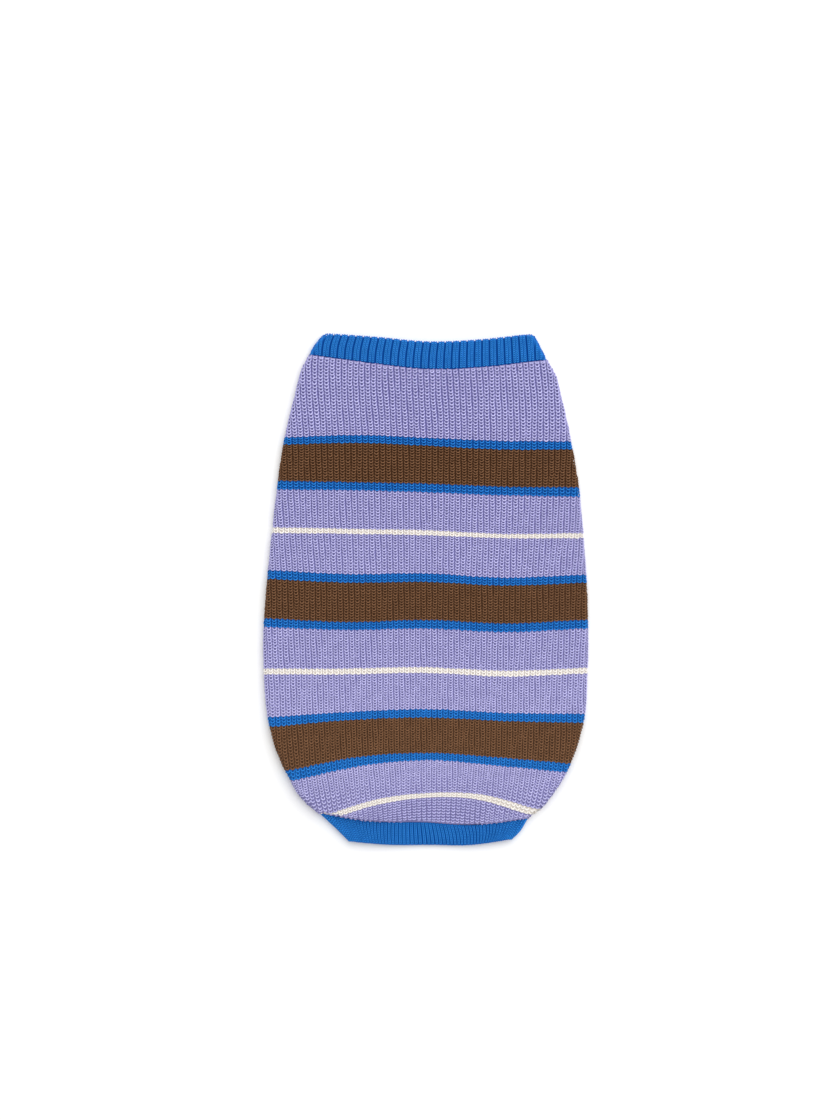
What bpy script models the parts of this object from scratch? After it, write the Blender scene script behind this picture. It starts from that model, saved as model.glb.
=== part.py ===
"""Knitted dog sweater, laid out flat on its belly side.

A tube of striped knit with a ribbed collar at +Y and a ribbed hem at -Y. The back panel is on top and
wraps round both side folds; the belly panel lies under it, with two leg openings bound in rib. Z is up,
the underside rests on z = 0, and the origin is under the middle of the garment's box.
"""
from typing import NamedTuple

import bmesh
import bpy
import numpy as np

MM = 0.001

# Cloth
BODY_WALL = 2.6 * MM  # chunky striped knit
COLLAR_WALL = 2.8 * MM  # folded rib, valley to inside
HEM_WALL = 2.3 * MM
SEAM_GAP = 0.3 * MM  # between pieces that are linked together
WRAP = 14.0 * MM  # how far the back panel runs on under the garment, past each side fold
RIPPLE = 0.4 * MM  # lazy waves of a cloth that was smoothed out by hand

# Ribs, counted all round the tube
COLLAR_RIBS = 64
HEM_RIBS = 40
COLLAR_RIB_HEIGHT = 0.9 * MM
HEM_RIB_HEIGHT = 0.5 * MM
COLLAR_SCALLOP = 0.5 * MM  # how far each rib stands up at the folded top edge
COLLAR_RIB_FORM = (0.0, 0.9, 1.0, 0.9)  # a narrow valley and a broad crest
HEM_RIB_FORM = (0.0, 0.6, 1.0, 0.6)

# Leg openings, in the belly panel
LEG_X = 45.0 * MM
LEG_Y = 97.0 * MM
LEG_HALF_WIDTH = 28.3 * MM  # of the hole in the panel
LEG_HALF_LENGTH = 35.3 * MM
LEG_TILT = np.radians(8.0)
LEG_RIB_WIDTH = 8.0 * MM
LEG_RIB_THICK = 2.9 * MM
LEG_SEGMENTS = 36

# Mesh density
TOP_COLUMNS = 36
FOLD_COLUMNS = 6
WRAP_COLUMNS = 2
BELLY_COLUMNS = 14

# Stations round a ring, counted from the left fold over the top to the right, under, and back
TOP_START, TOP_END = 0.0, 1.0
RIGHT_FOLD_END, RIGHT_SEAM, LEFT_SEAM, LEFT_FOLD_START, RING_END = 2.0, 3.0, 4.0, 5.0, 6.0

PALETTE = {
    "lavender": (0.38, 0.33, 0.68, 1.0),
    "blue": (0.03, 0.14, 0.58, 1.0),
    "brown": (0.12, 0.06, 0.03, 1.0),
    "cream": (0.86, 0.81, 0.71, 1.0),
}


class Line(NamedTuple):
    """One line across the tube, in millimetres: its two folds, its bend over the top, its heights."""

    at: float  # courses of stitches from the start of the piece, or a share of a ribbed band
    left_x: float
    left_y: float
    quarter_y: float
    middle_y: float
    three_quarter_y: float
    right_y: float
    right_x: float
    rise: float  # top of the cloth over the table, in the middle
    fold: float  # the same at the side folds
    under_y: float  # where the line crosses the middle of the underside


BODY_LINES = (
    Line(0, -81.5, 163.5, 158.5, 154.0, 156.0, 159.5, 83.8, 6.2, 6.4, 146.0),
    Line(4, -86.5, 153.0, 149.0, 145.5, 146.5, 149.5, 88.5, 6.8, 6.8, 138.5),
    Line(12, -92.3, 132.0, 130.5, 128.0, 127.5, 128.5, 95.0, 7.1, 7.0, 122.5),
    Line(22, -98.9, 106.0, 107.5, 105.5, 103.5, 103.0, 101.2, 7.1, 7.0, 102.5),
    Line(25, -100.0, 101.0, 102.0, 100.0, 97.5, 97.5, 102.3, 7.1, 7.0, 97.0),
    Line(39, -103.7, 75.5, 74.5, 73.5, 71.5, 71.0, 106.6, 7.0, 7.0, 71.5),
    Line(42, -104.5, 69.5, 69.0, 67.5, 65.5, 64.5, 107.4, 6.9, 7.0, 65.5),
    Line(55, -107.4, 43.0, 42.0, 41.0, 38.5, 39.0, 109.7, 6.4, 6.8, 40.0),
    Line(57, -107.9, 39.0, 38.5, 37.5, 35.5, 35.5, 110.0, 6.4, 6.8, 36.5),
    Line(71, -110.6, 13.0, 10.5, 11.0, 8.0, 10.0, 111.7, 6.3, 6.8, 11.0),
    Line(74, -111.2, 7.0, 4.5, 5.0, 2.5, 4.5, 112.1, 6.3, 6.8, 5.0),
    Line(88, -113.3, -20.5, -23.0, -21.5, -24.0, -21.5, 113.0, 6.3, 6.8, -20.0),
    Line(91, -113.6, -26.5, -28.5, -27.5, -30.0, -27.5, 113.1, 6.4, 6.8, -26.0),
    Line(104, -113.8, -55.5, -55.5, -54.5, -57.0, -55.0, 112.8, 6.7, 7.0, -53.5),
    Line(106, -113.6, -59.5, -59.5, -58.5, -61.0, -59.0, 112.6, 6.8, 7.0, -57.0),
    Line(120, -111.0, -89.5, -87.0, -84.5, -86.5, -87.0, 111.0, 7.9, 7.6, -83.0),
    Line(123, -109.8, -96.5, -92.5, -90.5, -92.0, -93.5, 110.0, 8.5, 7.8, -88.5),
    Line(137, -99.2, -126.5, -118.0, -115.0, -117.5, -121.5, 101.3, 11.6, 8.8, -113.0),
    Line(140, -95.6, -133.5, -124.5, -120.0, -123.0, -128.0, 98.7, 12.2, 9.0, -118.0),
    Line(147, -88.3, -145.0, -136.0, -131.0, -133.5, -141.0, 90.8, 12.8, 9.0, -127.0),
    Line(153, -76.5, -155.6, -149.5, -143.0, -145.0, -152.8, 80.3, 11.6, 8.0, -134.0),
    Line(155, -75.5, -156.4, -152.5, -146.0, -147.5, -155.3, 76.2, 11.0, 7.4, -136.0),
    Line(164, -73.5, -157.6, -161.5, -163.0, -163.8, -159.0, 71.0, 5.8, 5.8, -141.0),
)

# Courses to which each colour runs, and the rows of faces that carry it
BANDS = (
    ("lavender", 22, 5),
    ("blue", 25, 1),
    ("brown", 39, 2),
    ("blue", 42, 1),
    ("lavender", 55, 2),
    ("cream", 57, 1),
    ("lavender", 71, 2),
    ("blue", 74, 1),
    ("brown", 88, 2),
    ("blue", 91, 1),
    ("lavender", 104, 2),
    ("cream", 106, 1),
    ("lavender", 120, 2),
    ("blue", 123, 1),
    ("brown", 137, 2),
    ("blue", 140, 1),
    ("lavender", 153, 2),
    ("cream", 155, 1),
    ("lavender", 164, 3),
)

COLLAR_LINES = (
    BODY_LINES[0]._replace(at=0.0),
    Line(0.5, -77.5, 171.0, 167.0, 163.5, 165.0, 169.0, 81.0, 6.4, 6.6, 154.5),
    Line(1.0, -70.5, 178.5, 175.5, 172.5, 174.0, 178.0, 77.0, 6.4, 6.6, 163.0),
)
HEM_LINES = (
    BODY_LINES[-1]._replace(at=0.0),
    Line(0.5, -64.0, -166.5, -170.5, -171.0, -171.5, -169.0, 65.5, 4.6, 5.6, -149.0),
    Line(1.0, -54.0, -176.5, -179.0, -179.0, -179.0, -176.0, 57.0, 3.2, 5.6, -157.0),
)


def smooth_between(knots, values, at):
    """Reads a smooth curve through the knots (a cubic with averaged slopes) at each place in at."""
    knots, values = np.asarray(knots, float), np.asarray(values, float)
    at = np.clip(np.asarray(at, float), knots[0], knots[-1])
    slopes = np.gradient(values, knots)
    cell = np.clip(np.searchsorted(knots, at, side="right") - 1, 0, len(knots) - 2)
    width = knots[cell + 1] - knots[cell]
    t = (at - knots[cell]) / width
    start = (1 + 2 * t) * (1 - t) ** 2 * values[cell] + t * (1 - t) ** 2 * width * slopes[cell]
    end = t * t * (3 - 2 * t) * values[cell + 1] + t * t * (t - 1) * width * slopes[cell + 1]
    return start + end


def line_at(lines, at):
    """The line across the tube at a place between two of the lines given, in metres."""
    knots = [line.at for line in lines]
    columns = np.array(lines, float).T[1:]
    return Line(at, *(float(smooth_between(knots, column, at)) * MM for column in columns))


def shifted(line, distance):
    """The same line moved along the garment."""
    return line._replace(
        left_y=line.left_y + distance,
        quarter_y=line.quarter_y + distance,
        middle_y=line.middle_y + distance,
        three_quarter_y=line.three_quarter_y + distance,
        right_y=line.right_y + distance,
        under_y=line.under_y + distance,
    )


def ripple(x, y):
    """Height of the cloth's lazy waves."""
    along = np.sin(2 * np.pi * (y / 0.096 + 0.14 * np.sin(2 * np.pi * x / 0.19)))
    across = np.sin(2 * np.pi * (x / 0.13 + y / 0.27) + 1.0)
    return RIPPLE * (0.6 * along + 0.4 * across)


def ring_points(line, stations, inset=0.0, proud=0.0, ripples=0.0):
    """Points of one ring of the flattened tube.

    inset moves them into the cloth from its outer face, proud raises them off it, except underneath,
    and ripples is the share of the cloth's waves that they take.
    """
    stations = np.asarray(stations, float)
    proud = np.broadcast_to(proud, stations.shape)
    radius = line.fold / 2
    points = np.zeros((len(stations), 3))

    over = stations <= TOP_END
    across = 2 * stations[over] - 1
    bend = (line.left_y, line.quarter_y, line.middle_y, line.three_quarter_y, line.right_y)
    x = np.interp(across, (-1, 1), (line.left_x + radius, line.right_x - radius))
    y = smooth_between((-1, -0.5, 0, 0.5, 1), bend, across)
    dome = (1 - across**2) ** 2 if line.rise < line.fold else 1 - across**4
    height = line.fold + (line.rise - line.fold) * dome + ripples * ripple(x, y) * (1 - across**4)
    points[over] = np.column_stack((x, y, height - inset + proud[over]))

    folds = (
        ((stations > TOP_END) & (stations <= RIGHT_FOLD_END), TOP_END, 1, line.right_x, line.right_y),
        (stations > LEFT_FOLD_START, RING_END, -1, line.left_x, line.left_y),
    )
    for here, top_station, side, fold_x, fold_y in folds:
        turn = np.pi * np.abs(stations[here] - top_station)
        fade = (1 + np.cos(turn)) / 2 * proud[here]
        reach = radius - inset + fade
        x = fold_x - side * radius + side * reach * np.sin(turn)
        points[here] = np.column_stack((x, np.full(turn.shape, fold_y), radius + reach * np.cos(turn)))

    under = (stations > RIGHT_FOLD_END) & (stations <= LEFT_FOLD_START)
    right_edge, left_edge = line.right_x - radius, line.left_x + radius
    marks = (RIGHT_FOLD_END, RIGHT_SEAM, LEFT_SEAM, LEFT_FOLD_START)
    x = np.interp(stations[under], marks, (right_edge, right_edge - WRAP, left_edge + WRAP, left_edge))
    across = np.interp(x, (left_edge, right_edge), (-1, 1))
    straight = np.interp(across, (-1, 1), (line.left_y, line.right_y))
    y = straight + (line.under_y - straight) * (1 - across**2) ** 2
    points[under] = np.column_stack((x, y, np.full(x.shape, inset)))
    return points


def even_stations(line, count):
    """Stations that part a ring into equal lengths of cloth."""
    fine = np.linspace(0, RING_END, 1201)
    length = np.linalg.norm(np.diff(ring_points(line, fine), axis=0), axis=1)
    run = np.concatenate(((0,), np.cumsum(length)))
    return np.interp(np.arange(count) * run[-1] / count, run, fine)


def band_courses():
    """The courses at which the body's rows of faces meet, and the colour of each row."""
    courses, colours = [0.0], []
    for colour, end, rows in BANDS:
        courses.extend(np.linspace(courses[-1], end, rows + 1)[1:])
        colours.extend([colour] * rows)
    return courses, colours


def fabric(colour):
    """The material of one yarn colour."""
    name = "knit_" + colour
    material = bpy.data.materials.get(name) or bpy.data.materials.new(name)
    material.use_nodes = True
    material.diffuse_color = PALETTE[colour]
    shader = material.node_tree.nodes["Principled BSDF"]
    shader.inputs["Base Color"].default_value = PALETTE[colour]
    shader.inputs["Roughness"].default_value = 0.9
    shader.inputs["Metallic"].default_value = 0.0
    return material


def new_object(name, mesh, collection, colours):
    """Links a mesh to the collection as a named object with its materials."""
    sweater_piece = bpy.data.objects.new(name, mesh)
    collection.objects.link(sweater_piece)
    for colour in colours:
        mesh.materials.append(fabric(colour))
    mesh.shade_smooth()
    mesh.set_sharp_from_angle(angle=np.radians(50))
    return sweater_piece


def flat_sheet(name, rings, row_colours, wall, collection):
    """A sheet of cloth that lies flat: a grid laid out on the rings, coloured by rows and thickened upwards."""
    rows, columns = len(rings) - 1, len(rings[0]) - 1
    bm = bmesh.new()
    bmesh.ops.create_grid(bm, x_segments=columns, y_segments=rows, size=1.0)
    for face in bm.faces:
        row = int((face.calc_center_median().y + 1) / 2 * rows)
        face.material_index = list(PALETTE).index(row_colours[row])
    for vertex in bm.verts:
        column, row = round((vertex.co.x + 1) / 2 * columns), round((vertex.co.y + 1) / 2 * rows)
        vertex.co = rings[row][column]
    mesh = bpy.data.meshes.new(name)
    bm.normal_update()
    if sum(face.normal.z for face in bm.faces) > 0:
        bmesh.ops.reverse_faces(bm, faces=bm.faces)
    bm.to_mesh(mesh)
    bm.free()
    sheet = new_object(name, mesh, collection, PALETTE)
    thickness = sheet.modifiers.new("cloth", "SOLIDIFY")
    thickness.thickness = wall
    thickness.offset = -1
    return sheet


def loft(name, sections, colours, collection, row_colours=None):
    """A wall drawn through sections, each a loop round the wall's own thickness.

    With row_colours the wall is open-ended: each end is closed across its thickness, from the loop's
    first half, the outer face, to its second, the inner one. Without, the last section joins the first.
    """
    bm = bmesh.new()
    grid = [[bm.verts.new(point) for point in section] for section in sections]
    points = len(sections[0])
    for i, here in enumerate(grid if row_colours is None else grid[:-1]):
        after = grid[(i + 1) % len(grid)]
        for j in range(points):
            k = (j + 1) % points
            face = bm.faces.new((here[j], here[k], after[k], after[j]))
            if row_colours is not None:
                face.material_index = list(colours).index(row_colours[i])
    if row_colours is not None:
        for end, colour in ((grid[0], row_colours[0]), (grid[-1], row_colours[-1])):
            for j in range(points // 2 - 1):
                face = bm.faces.new((end[j], end[j + 1], end[-2 - j], end[-1 - j]))
                face.material_index = list(colours).index(colour)
    bmesh.ops.recalc_face_normals(bm, faces=bm.faces)
    mesh = bpy.data.meshes.new(name)
    bm.to_mesh(mesh)
    bm.free()
    return new_object(name, mesh, collection, colours)


def ribbed_band(name, lines, seam_shift, ribs, form, height, wall, scallop, collection):
    """A tube of rib from its seam to its folded edge, ribbed outside and plain inside."""
    first = shifted(line_at(lines, 0.0), seam_shift)
    stations = even_stations(first, ribs * len(form))
    crest = np.tile(form, ribs)
    edge_start = 1 - wall / 2 / abs(lines[-1].middle_y - lines[0].middle_y) / MM
    rings = []
    for share in (0.0, 0.45, edge_start):
        line = first if share == 0 else line_at(lines, share)
        rings.append(ring_points(line, stations, proud=crest * height))
    edge = ring_points(line_at(lines, 1.0), stations, inset=wall / 2)
    edge[:, 1] += np.sign(seam_shift) * crest * scallop
    rings.append(edge)
    rings.append(ring_points(line_at(lines, edge_start), stations, inset=wall))
    rings.append(ring_points(first, stations, inset=wall))
    return loft(name, rings, ("blue",), collection)


def back_panel(collection):
    """The striped back, from the seam under the left side, over the top, to the one under the right."""
    courses, colours = band_courses()
    left_fold = np.linspace(LEFT_FOLD_START, RING_END, FOLD_COLUMNS + 1)
    stations = np.concatenate((
        np.linspace(LEFT_SEAM, LEFT_FOLD_START, WRAP_COLUMNS + 1)[:-1],
        left_fold[:-1],
        np.linspace(TOP_START, TOP_END, TOP_COLUMNS + 1),
        np.linspace(TOP_END, RIGHT_FOLD_END, FOLD_COLUMNS + 1)[1:],
        np.linspace(RIGHT_FOLD_END, RIGHT_SEAM, WRAP_COLUMNS + 1)[1:],
    ))
    sections = []
    for at in courses:
        line = line_at(BODY_LINES, at)
        share = min(1.0, at / 8, (BODY_LINES[-1].at - at) / 8)
        outer = ring_points(line, stations, ripples=share)
        inner = ring_points(line, stations, inset=BODY_WALL, ripples=share)
        sections.append(np.concatenate((outer, inner[::-1])))
    return loft("back_panel", sections, PALETTE, collection, row_colours=colours)


def belly_panel(collection, cutters):
    """The striped underside between the two seams, with the two leg holes cut through it."""
    courses, colours = band_courses()
    stations = np.linspace(RIGHT_SEAM, LEFT_SEAM, BELLY_COLUMNS + 1)
    rings = np.array([ring_points(line_at(BODY_LINES, at), stations) for at in courses])
    rings[:, 0, 0] -= SEAM_GAP
    rings[:, -1, 0] += SEAM_GAP
    panel = flat_sheet("belly_panel", rings, colours, BODY_WALL, collection)
    for side, word in ((-1, "left"), (1, "right")):
        cut = panel.modifiers.new("leg_hole_" + word, "BOOLEAN")
        cut.operation = "DIFFERENCE"
        cut.object = leg_cutter(side, word, cutters)
    return panel


def leg_outline(side, inset):
    """The oval of a leg opening, set in from the hole in the panel."""
    turn = np.linspace(0, 2 * np.pi, LEG_SEGMENTS, endpoint=False)
    x = (LEG_HALF_WIDTH - inset) * np.cos(turn)
    y = (LEG_HALF_LENGTH - inset) * np.sin(turn)
    tilt = -side * LEG_TILT
    across = x * np.cos(tilt) - y * np.sin(tilt)
    along = x * np.sin(tilt) + y * np.cos(tilt)
    return np.column_stack((side * LEG_X + across, LEG_Y + along))


def leg_cutter(side, word, cutters):
    """An oval block that cuts the hole for one leg."""
    bm = bmesh.new()
    oval = [bm.verts.new((x, y, -BODY_WALL)) for x, y in leg_outline(side, 0.0)]
    base = bm.faces.new(oval)
    raised = bmesh.ops.extrude_face_region(bm, geom=[base])["geom"]
    top = [item for item in raised if isinstance(item, bmesh.types.BMVert)]
    bmesh.ops.translate(bm, verts=top, vec=(0, 0, 3 * BODY_WALL))
    bmesh.ops.recalc_face_normals(bm, faces=bm.faces)
    mesh = bpy.data.meshes.new("leg_cutter_" + word)
    bm.to_mesh(mesh)
    bm.free()
    cutter = bpy.data.objects.new("leg_cutter_" + word, mesh)
    cutter.display_type = "WIRE"
    cutter.hide_render = True
    cutters.objects.link(cutter)
    return cutter


def leg_rib(side, word, collection):
    """The rib that binds one leg opening, flat below and rounded at its free edge."""
    width, thick = LEG_RIB_WIDTH, LEG_RIB_THICK
    profile = (
        (SEAM_GAP, 0.0),
        (SEAM_GAP, BODY_WALL),
        (SEAM_GAP + 0.25 * width, thick),
        (SEAM_GAP + width - 0.4 * thick, thick),
        (SEAM_GAP + width, 0.6 * thick),
        (SEAM_GAP + width, 0.3 * thick),
        (SEAM_GAP + width - 0.4 * thick, 0.0),
    )
    rings = []
    for inset, height in profile:
        oval = leg_outline(side, inset)
        rings.append(np.column_stack((oval, np.full(len(oval), height))))
    return loft("leg_rib_" + word, rings, ("blue",), collection)


def build_sweater():
    """Clears the scene and makes every piece of the sweater."""
    for thing in list(bpy.data.objects):
        bpy.data.objects.remove(thing, do_unlink=True)
    sweater = bpy.data.collections.new("dog_sweater")
    cutters = bpy.data.collections.new("cutters")
    bpy.context.scene.collection.children.link(sweater)
    bpy.context.scene.collection.children.link(cutters)

    back_panel(sweater)
    belly_panel(sweater, cutters)
    ribbed_band(
        "collar_rib", COLLAR_LINES, SEAM_GAP, COLLAR_RIBS, COLLAR_RIB_FORM,
        COLLAR_RIB_HEIGHT, COLLAR_WALL, COLLAR_SCALLOP, sweater,
    )
    ribbed_band(
        "hem_rib", HEM_LINES, -SEAM_GAP, HEM_RIBS, HEM_RIB_FORM,
        HEM_RIB_HEIGHT, HEM_WALL, 0.0, sweater,
    )
    leg_rib(-1, "left", sweater)
    leg_rib(1, "right", sweater)


build_sweater()
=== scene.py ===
"""The looks of a striped knitted dog sweater, laid out flat on its belly side.

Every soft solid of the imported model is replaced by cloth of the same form: a thin wall, and on its
outer face the yarn itself, one loop for each stitch. Z is up, the collar is at +Y, the hem at -Y, and
the garment rests on z = 0.
"""
import logging
from dataclasses import dataclass, field, replace
from enum import Enum
from functools import cached_property
from typing import NamedTuple, Sequence

import bmesh
import bpy
import numpy as np
from bpy.types import ID, Material, Mesh, Node, NodeSocket as Socket, NodeTree, Object
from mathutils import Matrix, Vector


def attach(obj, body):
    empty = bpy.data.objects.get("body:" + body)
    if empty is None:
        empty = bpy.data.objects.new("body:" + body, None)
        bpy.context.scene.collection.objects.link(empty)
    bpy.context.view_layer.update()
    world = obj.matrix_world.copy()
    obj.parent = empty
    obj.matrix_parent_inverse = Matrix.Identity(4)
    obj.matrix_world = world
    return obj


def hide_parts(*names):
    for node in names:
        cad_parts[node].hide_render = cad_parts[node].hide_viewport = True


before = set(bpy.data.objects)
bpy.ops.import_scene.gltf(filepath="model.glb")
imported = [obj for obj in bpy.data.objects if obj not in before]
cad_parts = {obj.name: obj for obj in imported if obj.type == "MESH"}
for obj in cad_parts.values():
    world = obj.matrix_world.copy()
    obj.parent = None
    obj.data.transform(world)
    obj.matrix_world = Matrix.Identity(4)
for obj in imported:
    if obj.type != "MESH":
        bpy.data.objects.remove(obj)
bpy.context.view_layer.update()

LOG = logging.getLogger("dog_sweater")
MM = 0.001
ROOT = "root"
FLOOR = "floor"

# Cloth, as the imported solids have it
BODY_WALL = 2.6 * MM
COLLAR_WALL = 2.8 * MM
HEM_WALL = 2.3 * MM
SEAM_GAP = 0.3 * MM
WRAP = 14.0 * MM
RIPPLE = 0.4 * MM
LAST_COURSE = 170
SHORTEST_ROW = 0.8 * MM  # courses that lie closer than this are knitted as one

# Leg openings
LEG_X, LEG_Y = 45.0 * MM, 97.0 * MM
LEG_HALF_WIDTH, LEG_HALF_LENGTH = 28.3 * MM, 35.3 * MM
LEG_TILT = float(np.radians(8.0))
LEG_RIB_WIDTH, LEG_RIB_THICK = 8.0 * MM, 2.9 * MM
# Developed, this rib is 198.5 mm round at the seam and 8.5 mm deep; 10 mm is given as its depth, and its true
# area beside it. No side of a sheet may be under 10 mm, so 10 mm is declared as its depth, and its true area
# beside it.
LEG_RIB_CUT, LEG_RIB_AREA = (0.1985, 0.010), 0.00146

# Stations round a ring: over the top from left to right, right fold, under, left fold
TOP_END, RIGHT_FOLD_END, RIGHT_SEAM, LEFT_SEAM, LEFT_FOLD_START, RING_END = 1.0, 2.0, 3.0, 4.0, 5.0, 6.0
FOLD_MIDDLES = (-0.5, 1.5, 5.5)  # the left fold's is given from both ends of the ring
TOP_ABOVE = 2.0 * MM  # cloth that lies higher than this is on the top
ABOVE, RIB_ABOVE = 0.5 * MM, 0.3 * MM  # from a stitch's foot up to the point that says which way is out
SHARP_ANGLE = float(np.radians(55))  # from which an edge of a wall looks sharp

Array = np.ndarray
Triple = tuple[float, float, float]
Pair = tuple[float, float]
Inputs = dict[int | str, object]


class Yarn(Enum):
    """The four yarn colours."""

    LAVENDER = "lavender"
    BLUE = "blue"
    BROWN = "brown"
    CREAM = "cream"


class Line(NamedTuple):
    """One line across the tube, in millimetres: its two folds, its bend over the top, its heights."""

    at: float
    left_x: float
    left_y: float
    quarter_y: float
    middle_y: float
    three_quarter_y: float
    right_y: float
    right_x: float
    rise: float
    fold: float
    under_y: float
    @property
    def edges(self) -> Pair:
        """The x at which its left fold ends, and that at which its right fold starts."""
        return (self.left_x + self.fold / 2, self.right_x - self.fold / 2)

    def over_top(self, across: Array) -> Array:
        """Its y over the top, at places across it from -1 to 1."""
        return smooth_between((-1, -0.5, 0, 0.5, 1), self[2:7], across)

    def moved(self, distance: float) -> "Line":
        """The same line moved along the garment."""
        return Line(*self[:2], *(y + distance for y in self[2:7]), *self[7:10], self.under_y + distance)


COLLAR_SEAM = Line(0, -81.5, 163.0, 157.6, 153.4, 154.9, 159.5, 83.8, 6.2, 6.4, 146.0)
BODY_LINES = (
    Line(0, -81.5, 163.0, 160.6, 159.2, 158.9, 159.5, 83.8, 6.2, 6.4, 146.0),
    Line(4.5, -86.8, 153.0, 151.3, 149.6, 149.0, 149.5, 89.8, 6.8, 6.8, 138.5),
    Line(13.6, -92.6, 132.0, 131.2, 129.6, 128.3, 128.5, 95.6, 7.1, 7.0, 122.5),
    Line(25, -98.9, 106.0, 107.5, 105.5, 103.5, 103.0, 101.2, 7.1, 7.0, 102.5),
    Line(28, -100.0, 101.0, 102.0, 100.0, 97.5, 97.5, 102.3, 7.1, 7.0, 97.0),
    Line(42, -103.7, 75.5, 74.5, 73.5, 71.5, 71.0, 106.6, 7.0, 7.0, 71.5),
    Line(45, -104.5, 69.5, 69.0, 67.5, 65.5, 64.5, 107.4, 6.9, 7.0, 65.5),
    Line(59, -107.4, 43.0, 42.0, 41.0, 38.5, 39.0, 109.7, 6.4, 6.8, 40.0),
    Line(61, -107.9, 39.0, 38.5, 37.5, 35.5, 35.5, 110.0, 6.4, 6.8, 36.5),
    Line(75, -110.6, 13.0, 10.5, 11.0, 8.0, 10.0, 111.7, 6.3, 6.8, 11.0),
    Line(78, -111.2, 7.0, 4.5, 5.0, 2.5, 4.5, 112.1, 6.3, 6.8, 5.0),
    Line(92, -113.3, -20.5, -23.0, -21.5, -24.0, -21.5, 113.0, 6.3, 6.8, -20.0),
    Line(95, -113.6, -26.5, -28.5, -27.5, -30.0, -27.5, 113.1, 6.4, 6.8, -26.0),
    Line(109, -113.8, -55.5, -55.5, -54.5, -57.0, -55.0, 112.8, 6.7, 7.0, -53.5),
    Line(111, -113.6, -59.5, -59.5, -58.5, -61.0, -59.0, 112.6, 6.8, 7.0, -57.0),
    Line(125, -111.0, -89.2, -85.6, -83.7, -86.2, -87.0, 111.0, 7.9, 7.6, -83.0),
    Line(128, -109.8, -95.8, -91.2, -89.5, -91.8, -93.2, 110.0, 8.5, 7.8, -88.5),
    Line(142, -99.2, -126.2, -116.7, -114.0, -117.0, -121.3, 101.3, 11.6, 8.8, -113.0),
    Line(145, -95.6, -133.0, -122.8, -119.0, -122.6, -127.3, 98.7, 12.2, 9.0, -118.0),
    Line(152, -88.3, -145.0, -134.6, -129.8, -132.3, -140.2, 90.8, 12.8, 9.0, -127.0),
    Line(158, -75.6, -158.0, -146.2, -141.7, -142.9, -153.0, 80.0, 11.6, 8.0, -134.0),
    Line(160, -75.2, -162.0, -150.4, -145.1, -146.3, -156.9, 74.4, 11.0, 7.4, -136.0),
    Line(LAST_COURSE, -75.0, -177.0, -168.0, -164.6, -166.8, -175.0, 71.0, 5.8, 5.8, -141.0),
)
HEM_SEAM = Line(0, -75.0, -156.2, -162.0, -162.6, -164.5, -160.2, 71.0, 5.8, 5.8, -141.0)
COLLAR_LINES = (
    COLLAR_SEAM,
    Line(0.5, -76.8, 171.0, 166.5, 163.2, 164.5, 169.0, 79.1, 6.4, 6.6, 154.5),
    Line(1.0, -70.6, 177.6, 175.4, 172.4, 173.8, 177.4, 74.4, 6.4, 6.6, 163.0),
)
HEM_LINES = (
    HEM_SEAM,
    Line(0.5, -64.0, -166.5, -170.5, -171.0, -171.5, -169.0, 65.8, 4.6, 5.6, -149.0),
    Line(1.0, -53.4, -177.0, -179.0, -179.0, -179.0, -175.0, 59.6, 3.2, 5.6, -157.0),
)

# The course at which each stripe ends, from the collar down
BANDS = (
    (Yarn.LAVENDER, 25), (Yarn.BLUE, 28), (Yarn.BROWN, 42), (Yarn.BLUE, 45), (Yarn.LAVENDER, 59),
    (Yarn.CREAM, 61), (Yarn.LAVENDER, 75), (Yarn.BLUE, 78), (Yarn.BROWN, 92), (Yarn.BLUE, 95),
    (Yarn.LAVENDER, 109), (Yarn.CREAM, 111), (Yarn.LAVENDER, 125), (Yarn.BLUE, 128), (Yarn.BROWN, 142),
    (Yarn.BLUE, 145), (Yarn.LAVENDER, 158), (Yarn.CREAM, 160), (Yarn.LAVENDER, LAST_COURSE),
)
UPPER_COURSES = 75  # the lavender above this course is one piece, and that below it another

# Width of one wale of the body at some courses, in millimetres
WALE_PITCH = (
    (0, 4.09), (11.4, 4.13), (25, 4.08), (45, 4.03), (61, 3.97), (78, 3.88), (95, 3.86),
    (111, 3.80), (128, 3.76), (145, 3.68), (155, 3.56), (LAST_COURSE, 3.32),
)

# How deep the hollows between the stitches are at some courses, as a share: it flattens the stitches, narrows
# them, and sets how much painted shade the hollows and the wall behind them get
DEPTH_AND_SHADE = (
    (0, 23, 52, 68, 102, 118, 151, LAST_COURSE),
    (1.0, 0.97, 0.86, 0.80, 0.73, 0.62, 0.47, 0.62),
)


def smooth_between(knots: Sequence[float], values: Sequence[float], at: Array) -> Array:
    """Reads a smooth curve through its knots.

    Args:
        knots: Places of the knots, rising.
        values: Value at each knot.
        at: Places to read.

    Returns:
        The value at each place, from a cubic with averaged slopes.
    """
    knots, values = np.asarray(knots, float), np.asarray(values, float)
    at = np.clip(np.asarray(at, float), knots[0], knots[-1])
    slopes = np.gradient(values, knots)
    cell = np.clip(np.searchsorted(knots, at, side="right") - 1, 0, len(knots) - 2)
    width = knots[cell + 1] - knots[cell]
    t = (at - knots[cell]) / width
    start = (1 + 2 * t) * (1 - t) ** 2 * values[cell] + t * (1 - t) ** 2 * width * slopes[cell]
    end = t * t * (3 - 2 * t) * values[cell + 1] + t * t * (t - 1) * width * slopes[cell + 1]
    return start + end


def smooth_step(share: Array | float) -> Array:
    """Eases a share in and out between 0 and 1."""
    share = np.clip(share, 0, 1)
    return share * share * (3 - 2 * share)


def unit(vectors: Array) -> Array:
    """Scales every vector to a length of one."""
    return vectors / np.maximum(np.linalg.norm(vectors, axis=-1, keepdims=True), 1e-12)


def yarn_of(course: int) -> Yarn:
    """The yarn that a course of the body is knitted in."""
    return next(yarn for yarn, end in BANDS if course < end)

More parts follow.
